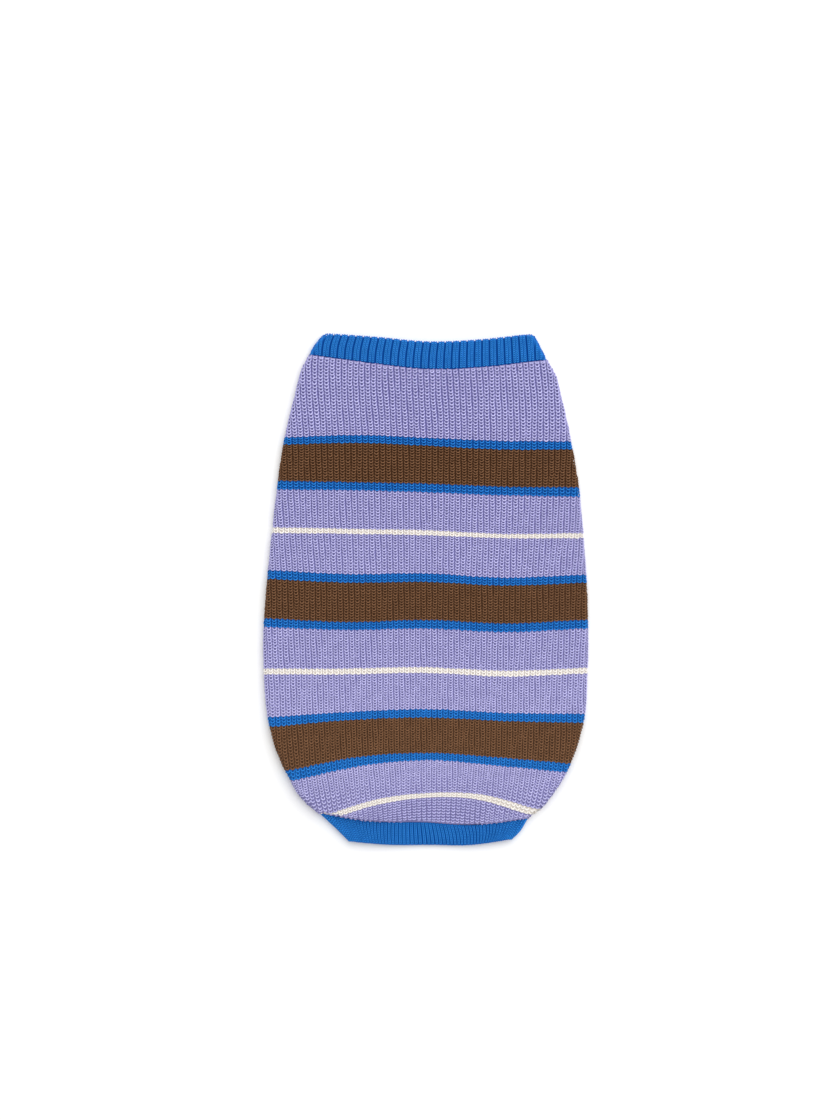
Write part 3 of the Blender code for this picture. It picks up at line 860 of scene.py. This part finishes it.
@dataclass
class BodyPanel(SweaterPart):
    """One of the two striped panels."""

    name: str = "back"
    start: float = LEFT_SEAM - RING_END
    end: float = RIGHT_SEAM
    seed: int = 1
    proud: float = 0.45 * MM  # how far the yarn's crests stand off the solid, over the top
    wall_depth: float = 1.35 * MM  # the wall's outer face, below the crests
    wall_columns: int = 64
    half_wales: int = 48  # wales laid out to each side of the middle, more than the panel has
    drift: float = -2.2 * MM  # how far the wales lie to the left at the collar
    drift_end: int = 26  # the course at which they are straight
    wander: float = 0.28 * MM  # how far a wale winds to either side
    uneven: float = 0.11 * MM  # how far each stitch lies off its place
    stitch_width: Pair = (1.08, 0.06)  # as a share of its wale, and less where the hollows get more painted shade
    first_row: Triple = (0.20, 1.15, 0.84)  # under the collar: its foot, head and width
    hem_room: float = 1.0 * MM  # between the last stitches' feet and the hem's seam
    flattened: float = 0.9  # how much flatter the stitches with the faintest hollows are
    collar_shade_gain: float = 0.34  # how much more painted shade the hollows get at the middle of the collar, where the stitches are also a little narrower
    shade_gain_wales: tuple[int, int] = (4, 12)  # how far out that starts to fade, and over how many wales
    collar_shade_loss: float = 0.10  # how much less painted shade they get all along the collar, where the stitches are a little wider
    collar_end: int = 46  # the course at which both have faded
    pale: Triple = (0.7, 0.8, 0.7)  # how far the wall's painted shade is lifted where hollows are faint, at the hem, at the sides
    hem_width: float = 0.5 * MM  # how near the hem's seam that is
    side_width: float = 4.0 * MM  # how near the side seams, and over how far it fades
    tube: FlatTube = FlatTube(BODY_LINES, (COLLAR_SEAM, HEM_SEAM))
    gauge: Gauge = BODY_GAUGE

    @property
    def is_back(self) -> bool:
        """True for the back, which starts under the left fold and goes over the top."""
        return self.start < 0

    def relief(self, courses: Array | float) -> Array:
        """Height of the stitches at each course, as a share of the gauge's."""
        return 1 - self.flattened * (1 - smooth_between(*DEPTH_AND_SHADE, courses))

    @staticmethod
    def rippled(at: float) -> float:
        """Share of the lazy waves at a course, which fade over the 8 courses by each end."""
        return min(1.0, at / 8, (LAST_COURSE - at) / 8)

    def place(self, at: float, distances: Array, inset: float) -> Array:
        """Points of one line across the panel.

        Args:
            at: Courses from the collar.
            distances: How far along the line each point is from the garment's middle.
            inset: How far the points lie inside the yarn's crests.

        Returns:
            The points, with numbers that aren't one past the panel's edges.
        """
        fine = np.linspace(self.start, self.end, 901)
        line, stations, share = self.tube.line(at), np.mod(fine, RING_END), self.rippled(at)
        base = self.tube.ring(line, stations, ripples=share)
        run = run_along(base)
        top = (fine >= 0) & (fine <= TOP_END) if self.is_back else np.ones(len(fine), bool)
        turn = 1 if self.is_back else -1
        middle = np.interp(0.0, base[top, 0][::turn], run[top][::turn])
        points = self.tube.ring(line, stations, inset, self.proud, share)
        at_run = middle + distances
        inside = (at_run >= run[0]) & (at_run <= run[-1])
        found = np.column_stack([np.interp(at_run, run, points[:, k]) for k in range(3)])
        found[~inside] = np.nan
        return found

    def feet(self, wales: Array, pitch: Array, relief: Array) -> tuple[Array, Array]:
        """The foot of each stitch, by line and wale, and a point straight above it.

        Args:
            wales: Number of each wale, counted from the garment's middle.
            pitch: Width of a wale at each line.
            relief: Height of the stitches at each line, as a share of the gauge's.

        Returns:
            The feet, and the points above them.
        """
        drift = self.drift * (1 - smooth_step(np.arange(len(pitch)) / self.drift_end))
        points = []
        for at, width in enumerate(pitch):
            crest = self.gauge.crest * relief[at]
            wander = self.wander * np.sin(at * 0.31 + wales * 0.9) * np.sin(at * 0.083 + wales * 0.37)
            distances = width * (wales + 0.5) + wander + drift[at]
            points.append([self.place(float(at), distances, inset) for inset in (crest, crest - ABOVE)])
        feet, lifted = np.array(points).transpose(1, 0, 2, 3).copy()
        off = np.random.default_rng(self.seed).normal(0, self.uneven, (*feet.shape[:2], 2))
        seam = self.tube.end_height(feet[..., 0] + off[..., 0]) + self.hem_room
        for points in (feet, lifted):
            points[..., :2] += off
        rise = np.maximum(np.where(feet[..., 2] > TOP_ABOVE, seam, -1.0) - feet[..., 1], 0)
        for points in (feet, lifted):
            points[..., 1] += rise
        return feet, lifted

    def stitches(self) -> tuple[Stitches, Array]:
        """All the panel's stitches, and the course that each is in."""
        knots, pitches = zip(*WALE_PITCH)
        wales, lines = np.arange(-self.half_wales, self.half_wales), np.arange(LAST_COURSE + 1)
        pitch, relief = smooth_between(knots, pitches, lines) * MM, self.relief(lines)
        feet, lifted = self.feet(wales, pitch, relief)
        heads, last = [], feet[0]
        for foot in feet[1:]:
            heads.append(last)
            with np.errstate(invalid="ignore"):
                near = np.linalg.norm(foot - last, axis=1) <= SHORTEST_ROW
            last = np.where(near[:, None], last, foot)
        low, high, narrow = self.first_row
        row = self.gauge.row * unit(feet[6:7] - feet[:1])
        top = np.where(feet[:1, :, 2:] > TOP_ABOVE, feet[:1] + low * row, np.nan)
        sets = (
            (feet[1:], np.array(heads), lifted[1:], lines[:-1], 1.0),
            (top, feet[:1] + high * row, top + lifted[:1] - feet[:1], lines[:1], narrow),
        )
        middle_start, middle_width = self.shade_gain_wales
        middle = 1 - smooth_step((np.abs(wales) - middle_start) / middle_width)
        parts, courses = [], []
        for foot, head, above, course, wide in sets:
            course = np.repeat(course, len(wales)).reshape(foot.shape[:2])
            row = np.linalg.norm(head - foot, axis=2)
            with np.errstate(invalid="ignore"):
                there = ~np.isnan(above).any(2) & (row > SHORTEST_ROW)
            # How much painted shade the hollows get, more at the collar's middle; it also narrows the
            # stitches
            collar = 1 - smooth_step(course / self.collar_end)
            by_collar = 1 - self.collar_shade_loss * collar + self.collar_shade_gain * collar * middle
            depth = smooth_between(*DEPTH_AND_SHADE, course) * by_collar
            cell = np.stack((np.broadcast_to(wales, course.shape), course, depth), axis=-1)[there]
            most, less = self.stitch_width
            width = (pitch[course + 1] * (most - less * depth) * wide)[there]
            height = relief[course][there]
            parts.append(Stitches.between(foot[there], head[there], above[there], width, cell, height))
            courses.append(course[there])
        return Stitches.joined(parts), np.concatenate(courses)

    def wall(self) -> Object:
        """The panel's wall of cloth, behind the yarn."""
        courses, rows, start = [0.0], [], 0
        for yarn, end in BANDS:
            steps = max(1, (end - start) // 2)
            courses.extend(np.linspace(start, end, steps + 1)[1:])
            rows.extend([list(Yarn).index(yarn)] * steps)
            start = end
        fine = np.linspace(self.start, self.end, self.wall_columns + 1)
        if self.is_back:
            folds = np.linspace(0, 1, 9)[1:-1]
            fine = np.unique(np.concatenate((fine, -1 + folds, 1 + folds, (-1, 0, 1, 2))))
        sections = []
        for at in courses:
            line, stations, share = self.tube.line(at), np.mod(fine, RING_END), self.rippled(at)
            outer = self.tube.ring(line, stations, self.wall_depth * self.relief(at), self.proud, share)
            inner = self.tube.ring(line, stations, BODY_WALL, ripples=share)
            sections.append(np.concatenate((outer, inner[::-1])))
        sections, outside = np.array(sections), slice(len(fine))
        to_seam = sections[..., 1] - self.tube.end_height(sections[..., 0])
        by_hem = (sections[..., 2] > TOP_ABOVE) & (to_seam < self.hem_width)
        # The wall's painted shade behind the stitches is lifted where the hollows are faint and by the hem's
        # seam
        pale, pale_by_hem, pale_by_side = self.pale
        shade = np.maximum(pale * (1 - smooth_between(*DEPTH_AND_SHADE, courses))[:, None], pale_by_hem * by_hem)
        # The wales end at a slant by the side seams, so the wall shows there; its painted shade is lifted
        # toward the cloth's own tone
        run = run_along(sections[:, outside])
        from_side = np.minimum(run, run[:, -1:] - run)
        by_side = pale_by_side * (1 - smooth_step((from_side - self.side_width) / self.side_width))
        shade[:, outside] = np.maximum(shade[:, outside], by_side)
        materials = [WALLS[yarn].material() for yarn in Yarn]
        return cloth_wall(self.name + "_cloth", sections, materials, rows, len(fine), False, shade)

    def build(self, tree: StitchTree) -> None:
        """Makes the panel's wall and its yarns."""
        wall = self.cut(self.wall())
        stitches, course = self.stitches()
        keep = self.kept(stitches)
        stitches, course = stitches.taken(keep), course[keep]
        yarn = np.array([list(Yarn).index(yarn_of(c)) for c in range(LAST_COURSE)])[course]
        for number, colour in enumerate(Yarn):
            parts = {"": yarn == number}
            if colour is Yarn.LAVENDER and self.is_back:
                upper = course < UPPER_COURSES
                parts = {"_upper": (yarn == number) & upper, "_lower": (yarn == number) & ~upper}
            for word, here in parts.items():
                name = f"{self.name}_yarn_{colour.value}{word}"
                self.knit(tree, name, stitches.taken(here), YARNS[colour], SLOTS[colour], self.seed + number)
        self.put_on(wall)

    def kept(self, stitches: Stitches) -> Array:
        """True for each stitch that the panel has."""
        return np.ones(len(stitches.foot), bool)

    def cut(self, wall: Object) -> Object:
        """The wall with its openings cut."""
        return wall


def leg_outline(side: int, turn: Array, inset: float | Array) -> Array:
    """Points on the oval of one leg opening, set in from the hole in the panel."""
    x = (LEG_HALF_WIDTH - inset) * np.cos(turn)
    y = (LEG_HALF_LENGTH - inset) * np.sin(turn)
    tilt = -side * LEG_TILT
    across = x * np.cos(tilt) - y * np.sin(tilt)
    along = x * np.sin(tilt) + y * np.cos(tilt)
    return np.column_stack((side * LEG_X + across, LEG_Y + along))


@dataclass
class BellyPanel(BodyPanel):
    """The striped underside, with a hole for each foreleg."""

    name: str = "belly"
    start: float = RIGHT_SEAM
    end: float = LEFT_SEAM
    seed: int = 21
    wall_columns: int = 44
    leg_room: float = 1.3 * MM  # between a leg hole and the nearest stitches' middles
    gauge: Gauge = UNDER_GAUGE

    def kept(self, stitches: Stitches) -> Array:
        """True for each stitch that lies clear of the leg holes."""
        keep = np.ones(len(stitches.foot), bool)
        middle = stitches.foot[:, :2] + 0.5 * stitches.along[:, :2]
        for side in (-1, 1):
            tilt = -side * LEG_TILT
            x, y = (middle - (side * LEG_X, LEG_Y)).T
            across, along = x * np.cos(tilt) + y * np.sin(tilt), y * np.cos(tilt) - x * np.sin(tilt)
            wide, long = LEG_HALF_WIDTH + self.leg_room, LEG_HALF_LENGTH + self.leg_room
            keep &= (across / wide) ** 2 + (along / long) ** 2 > 1
        return keep

    def cut(self, wall: Object) -> Object:
        """The wall with both leg holes cut through it."""
        turn = np.linspace(0, 2 * np.pi, 72, endpoint=False)
        for side in (-1, 1):
            bm = bmesh.new()
            oval = [bm.verts.new((x, y, -BODY_WALL)) for x, y in leg_outline(side, turn, 0.0)]
            raised = bmesh.ops.extrude_face_region(bm, geom=[bm.faces.new(oval)])["geom"]
            top = [item for item in raised if isinstance(item, bmesh.types.BMVert)]
            bmesh.ops.translate(bm, verts=top, vec=(0, 0, 3 * BODY_WALL))
            bmesh.ops.recalc_face_normals(bm, faces=bm.faces)
            mesh = bpy.data.meshes.new("leg_cutter")
            bm.to_mesh(mesh)
            bm.free()
            cutter = new_object("leg_cutter", mesh)
            hole = wall.modifiers.new("leg_hole", "BOOLEAN")
            hole.operation = "DIFFERENCE"
            hole.object = cutter
            whole, wall.data = wall.data, evaluated_mesh(wall)
            wall.modifiers.clear()
            bpy.data.meshes.remove(whole)
            bpy.data.objects.remove(cutter)
        wall.data.name = wall.name
        return wall


@dataclass
class RibPart(SweaterPart):
    """A part knitted in rib, in rounds of stitches from its seam to past its free edge."""

    name: str = "rib"
    gauge: Gauge = COLLAR_GAUGE
    groove: float = 0.0  # bare wall beside the seam, as a share of the part's depth, which shows the wall's painted shade
    courses: int = 12
    edge_courses: int = 3
    seed: int = 41

    def face(self, places: Array, along: float, inset: float | Array) -> Array:
        """Points on the part's outer face, or inside it."""
        raise NotImplementedError

    def wall(self) -> Object:
        """The part's wall of cloth."""
        raise NotImplementedError

    def round_wall(self, rounds: Sequence[Array], outer: int, shade: float | Array = 0.0) -> Object:
        """The part's wall, from rounds of points of which the first are on its outer side."""
        columns = np.array(rounds).transpose(1, 0, 2)
        materials, rows = [RIB_WALL.material()], [0] * len(columns)
        return cloth_wall(self.name + "_cloth", columns, materials, rows, outer, True, shade)

    def make(
        self, tree: StitchTree, places: Array, order: int, repeat: int = 1, width: float = 1.0,
        down: bool = False,
    ) -> None:
        """Makes the part's yarn and its wall.

        Args:
            tree: Makes the stitches.
            places: Place round the part of each wale.
            order: 1 or -1, the way that the courses are numbered, for the map.
            repeat: How many wales make one rib.
            width: Width of a stitch, as a share of the rib's.
            down: True for stitches that have their heads toward the seam.
        """
        edge = np.linspace(1, 2, self.edge_courses + 1)[1:]
        steps = [*np.linspace(self.groove, 1, self.courses + 1), *edge]
        wales, depth = np.arange(len(places), dtype=float), np.ones(len(places))
        parts = []
        for number, ends in enumerate(zip(steps[:-1], steps[1:])):
            ends = ends[::-1] if down else ends
            foot, head = (self.face(places, along, self.gauge.crest) for along in ends)
            lifted = self.face(places, ends[0], self.gauge.crest - RIB_ABOVE)
            cell = np.column_stack((wales, depth * number * order, depth))
            pitch = np.linalg.norm(np.roll(foot, -repeat, 0) - foot, axis=1) * width
            parts.append(Stitches.between(foot, head, lifted, pitch, cell))
        self.knit(tree, self.name + "_yarn", Stitches.joined(parts), RIB_YARN, RIB_SLOT, self.seed)
        self.put_on(self.wall())


@dataclass
class RibbedBand(RibPart):
    """The collar or the hem: a band of rib with a rounded free edge."""

    name: str = "collar"
    lines: tuple[Line, ...] = COLLAR_LINES
    toward: int = 1  # +1 if the free edge is at +Y
    ribs: int = 64
    form: tuple[float, ...] = (0.2, 0.75, 1.0, 1.0, 0.75)  # height across one rib
    rib_height: float = 0.9 * MM
    thickness: float = COLLAR_WALL
    scallop: float = 0.45 * MM  # how far a rib stands out of the free edge
    wale_places: tuple[float, ...] = (0.30, 0.70)  # across one rib
    wale_width: float = 0.435
    groove: float = 0.05
    splay: Pair = (0.11, 0.09)  # how much further out the top's left and right ribs end
    kept_in: float = 0.0  # 1 keeps the ribs from spreading round the folds
    lean: float = 0.0030  # how far the ribs twist by the free edge, as a share of the way round
    proud: float = 0.25 * MM
    rising: Pair = (0.35, 6.0)  # share of the relief at the seam, and its growth from there
    wall_depth: float = 0.65 * MM
    edge_depth: float = 0.55 * MM
    edge_proud: float = 0.15 * MM
    corner: float = 0.8  # how much the free edge's rounding flattens at the folds
    corner_span: Pair = (0.56, 0.08)  # how near the fold that starts, and over how far
    fold_span: Pair = (0.45, 0.2)  # the same for the wall, which comes up to the yarn there
    fold_rise: float = 0.6  # how far it comes up, as a share of the yarn's height
    fold_shade: float = 0.7  # and how far its painted shade is lifted there

    def __post_init__(self) -> None:
        """Works out the band's seam, the middle of its top and where its edge starts to round over."""
        self.tube = FlatTube(self.lines)
        self.seam = self.tube.line(0.0).moved(self.toward * SEAM_GAP)
        span = abs(self.lines[-1].middle_y - self.lines[0].middle_y) * MM
        self.edge_start = 1 - self.thickness / 2 / span
        fine = np.linspace(0, 1, 2401)
        stations = self.tube.even_stations(self.seam, fine[:-1])
        self.middle = float(np.interp(TOP_END / 2, stations, fine[:-1]))

    def crest(self, shares: Array) -> Array:
        """Height of the rib at each share of the way round, from 0 to 1."""
        within = np.mod(shares * self.ribs, 1.0) * len(self.form)
        return np.interp(within, np.arange(len(self.form) + 1), (*self.form, self.form[0]))

    def reached(self, shares: Array, along: float) -> Array:
        """Shares of the way round that the ribs have come to at a place along the band."""
        offset = np.mod(shares - self.middle + 0.5, 1.0) - 0.5
        distance = np.abs(offset)
        fan = np.where(offset < 0, *self.splay) * along
        fold = 0.25 * (1 + fan * (1 - self.kept_in))
        over = distance * (1 + fan * (1 - self.kept_in * distance / 0.25))
        under = fold + (distance - 0.25) * (0.5 - fold) / 0.25
        return self.middle + np.sign(offset) * np.where(distance < 0.25, over, under) + self.lean * along

    @staticmethod
    def near_fold(stations: Array, span: Pair) -> Array:
        """Rises from 0 to 1 near the folds' middles; span says how near, and over how far."""
        distance = np.min([np.abs(stations - fold) for fold in FOLD_MIDDLES], axis=0)
        return smooth_step((span[0] - distance) / span[1])

    def stations(self, shares: Array, along: float) -> Array:
        """Stations that the ribs at these shares have come to at a place along the band."""
        return self.tube.even_stations(self.seam, self.reached(shares, min(along, 1.0)))

    def face(self, shares: Array, along: float, inset: float | Array) -> Array:
        """Points on the band's outer face, or inside it.

        Args:
            shares: Share of the way round for each point.
            along: 0 at the seam, 1 where the edge starts to round, 2 where the inner face starts.
            inset: How far inside the yarn's crests.

        Returns:
            The points.
        """
        stations = self.stations(shares, along)
        crest = self.crest(shares)
        start, growth = self.rising
        lift = (crest * self.rib_height + self.proud) * min(1.0, start + growth * along)
        if along <= 1:
            line = self.seam if along == 0 else self.tube.line(along * self.edge_start)
            return self.tube.ring(line, stations, inset=inset, proud=lift)
        line = self.tube.line(self.edge_start)
        half = self.thickness / 2
        centre = self.tube.ring(line, stations, inset=half)
        outer = self.tube.ring(line, stations, inset=inset, proud=lift) - centre
        height = np.linalg.norm(outer, axis=1) if along <= 1.5 else np.full(len(crest), half)
        turn = np.pi * (along - 1)
        reach = half + crest * self.scallop + self.edge_proud - np.minimum(inset, self.edge_depth)
        reach = reach * (1 - self.corner * self.near_fold(stations, self.corner_span))
        points = centre + unit(outer) * (height * np.cos(turn))[:, None]
        points[:, 1] += self.toward * reach * np.sin(turn)
        return points

    def wall(self) -> Object:
        """The band's wall of cloth, ribbed outside and plain inside."""
        columns = self.ribs * 8
        shares = np.arange(columns) / columns
        sections, shade = [], np.ones((11, columns))
        for number, along in enumerate((0, 0.25, 0.5, 0.75, 1, 1.25, 1.5, 1.75)):
            at_fold = self.near_fold(self.stations(shares, along), self.fold_span)
            depth = self.gauge.crest * (1 - self.fold_rise * at_fold) + self.wall_depth * (1 - at_fold)
            sections.append(self.face(shares, along, depth))
            shade[number] = self.fold_shade * at_fold
        for along in (self.edge_start, 0.5 * self.edge_start, 0.0):
            line = self.seam if along == 0 else self.tube.line(along)
            stations = self.stations(shares, along / self.edge_start)
            sections.append(self.tube.ring(line, stations, inset=self.thickness))
        return self.round_wall(sections, 8, shade.T)

    def build(self, tree: StitchTree) -> None:
        """Makes the band's wall and its yarn."""
        places = (np.arange(self.ribs)[:, None] + np.array(self.wale_places)).ravel() / self.ribs
        self.make(tree, places, self.toward, len(self.wale_places), self.wale_width, self.toward < 0)


@dataclass
class LegRib(RibPart):
    """The narrow rib round one leg opening."""

    side: int = -1
    gauge: Gauge = LEG_GAUGE
    wales: int = 92
    courses: int = 4
    wall_depth: float = 0.35 * MM

    def face(self, places: Array, along: float, inset: float | Array) -> Array:
        """Points on the rib: along is 0 at the seam, 1 where the free edge rounds, 2 on its top side."""
        flat_end = LEG_RIB_WIDTH - LEG_RIB_THICK / 2
        if along <= 1:
            reach = SEAM_GAP + (flat_end - SEAM_GAP) * along
            return raised(leg_outline(self.side, places, reach), inset)
        radius, bend = LEG_RIB_THICK / 2 - inset, np.pi * (along - 1)
        spot = leg_outline(self.side, places, flat_end + radius * np.sin(bend))
        return raised(spot, LEG_RIB_THICK / 2 - radius * np.cos(bend))

    def wall(self) -> Object:
        """The rib's wall of cloth."""
        turn = np.linspace(0, 2 * np.pi, 96, endpoint=False)
        depth = self.gauge.crest + self.wall_depth
        sections = [self.face(turn, along, depth) for along in (0, 0.5, 1, 1.25, 1.5, 1.75)]
        for reach in (LEG_RIB_WIDTH - LEG_RIB_THICK / 2, SEAM_GAP + 0.25 * LEG_RIB_WIDTH, SEAM_GAP):
            height = BODY_WALL if reach == SEAM_GAP else LEG_RIB_THICK
            sections.append(raised(leg_outline(self.side, turn, reach), height))
        return self.round_wall(sections, 6)

    def build(self, tree: StitchTree) -> None:
        """Makes the rib's wall and its yarn."""
        self.make(tree, np.linspace(0, 2 * np.pi, self.wales, endpoint=False), order=-1)


@dataclass
class Studio:
    """A pale floor, soft light and the camera straight above."""

    lens: float = 85.0
    sensor: float = 36.0
    frame_height: float = 784 * MM
    aim: Pair = (-4.4 * MM, 20.3 * MM)
    floor_size: float = 30.0
    floor_drop: float = 0.05 * MM  # keeps the floor clear of the cloth
    key_place: Triple = (0.80, 1.35, 2.0)
    key_size: float = 3.8
    key_power: float = 66.0
    sky: float = 0.74

    def build(self) -> None:
        """Sets up the floor, the light and the camera."""
        scene = bpy.context.scene
        scene.view_settings.view_transform = "Standard"
        scene.view_settings.look = "None"
        self.floor()
        self.light()
        self.camera()

    def floor(self) -> None:
        """A large matt floor just under the cloth."""
        mesh = bpy.data.meshes.new(FLOOR)
        half = self.floor_size / 2
        corners = [(x * half, y * half, -self.floor_drop) for x, y in ((-1, -1), (1, -1), (1, 1), (-1, 1))]
        mesh.from_pydata(corners, [], [(0, 1, 2, 3)])
        paper = MaterialGraph("floor_paper")
        tint = paper.ramp(paper.noise(3.0), (0.0, (0.905, 0.905, 0.905)), (1.0, (0.935, 0.935, 0.935)))
        mesh.materials.append(paper.finish(Base_Color=tint, Roughness=0.95, Specular_IOR_Level=0.1))
        new_object(FLOOR, mesh)

    def light(self) -> None:
        """An even white surround and one broad lamp from the upper right."""
        world = bpy.data.worlds.new("surround")
        bpy.context.scene.world = world
        world.use_nodes = True
        background = world.node_tree.nodes["Background"]
        background.inputs["Color"].default_value = (1.0, 1.0, 1.0, 1.0)
        background.inputs["Strength"].default_value = self.sky
        lamp = bpy.data.lights.new("key", "AREA")
        lamp.shape = "DISK"
        lamp.size = self.key_size
        lamp.energy = self.key_power
        key = new_object("key", lamp)
        key.location = self.key_place
        key.rotation_mode = "QUATERNION"
        key.rotation_quaternion = Vector(-np.array(self.key_place)).to_track_quat("-Z", "Y")

    def camera(self) -> None:
        """The camera, looking straight down."""
        lens = bpy.data.cameras.new("camera")
        lens.lens = self.lens
        lens.sensor_width = self.sensor
        lens.clip_start, lens.clip_end = 0.1, 20.0
        camera = new_object("camera", lens)
        camera.location = (*self.aim, self.frame_height * self.lens / self.sensor)
        bpy.context.scene.camera = camera


def main() -> None:
    """Builds the studio and every part of the sweater."""
    logging.basicConfig(level=logging.INFO, format="%(message)s")
    Studio().build()
    tree = StitchTree()
    BodyPanel("back_panel", (0.270, 0.329), 0.081, "knit_lavender").build(tree)
    BellyPanel("belly_panel", (0.192, 0.300), 0.0464, "knit_lavender").build(tree)
    RibbedBand("collar_rib", (0.342, 0.021), 0.00597, RIB_SLOT).build(tree)
    RibbedBand(
        "hem_rib", (0.305, 0.030), 0.00478, RIB_SLOT, name="hem", lines=HEM_LINES, toward=-1, ribs=40,
        form=(0.4, 0.8, 1.0, 0.8), rib_height=0.32 * MM, thickness=HEM_WALL, scallop=0.15 * MM,
        gauge=HEM_GAUGE, wale_places=(0.17, 0.5, 0.83), wale_width=0.33, groove=0.0, splay=(0.55, 0.45),
        kept_in=1.0, lean=-0.012, proud=0.2 * MM, corner=0.3, seed=51,
    ).build(tree)
    for side, name, seed in ((-1, "leg_rib_left", 61), (1, "leg_rib_right", 71)):
        LegRib(name, LEG_RIB_CUT, LEG_RIB_AREA, RIB_SLOT, name=name, side=side, seed=seed).build(tree)
    bpy.data.node_groups.remove(tree.tree)


if __name__ == "__main__":
    main()
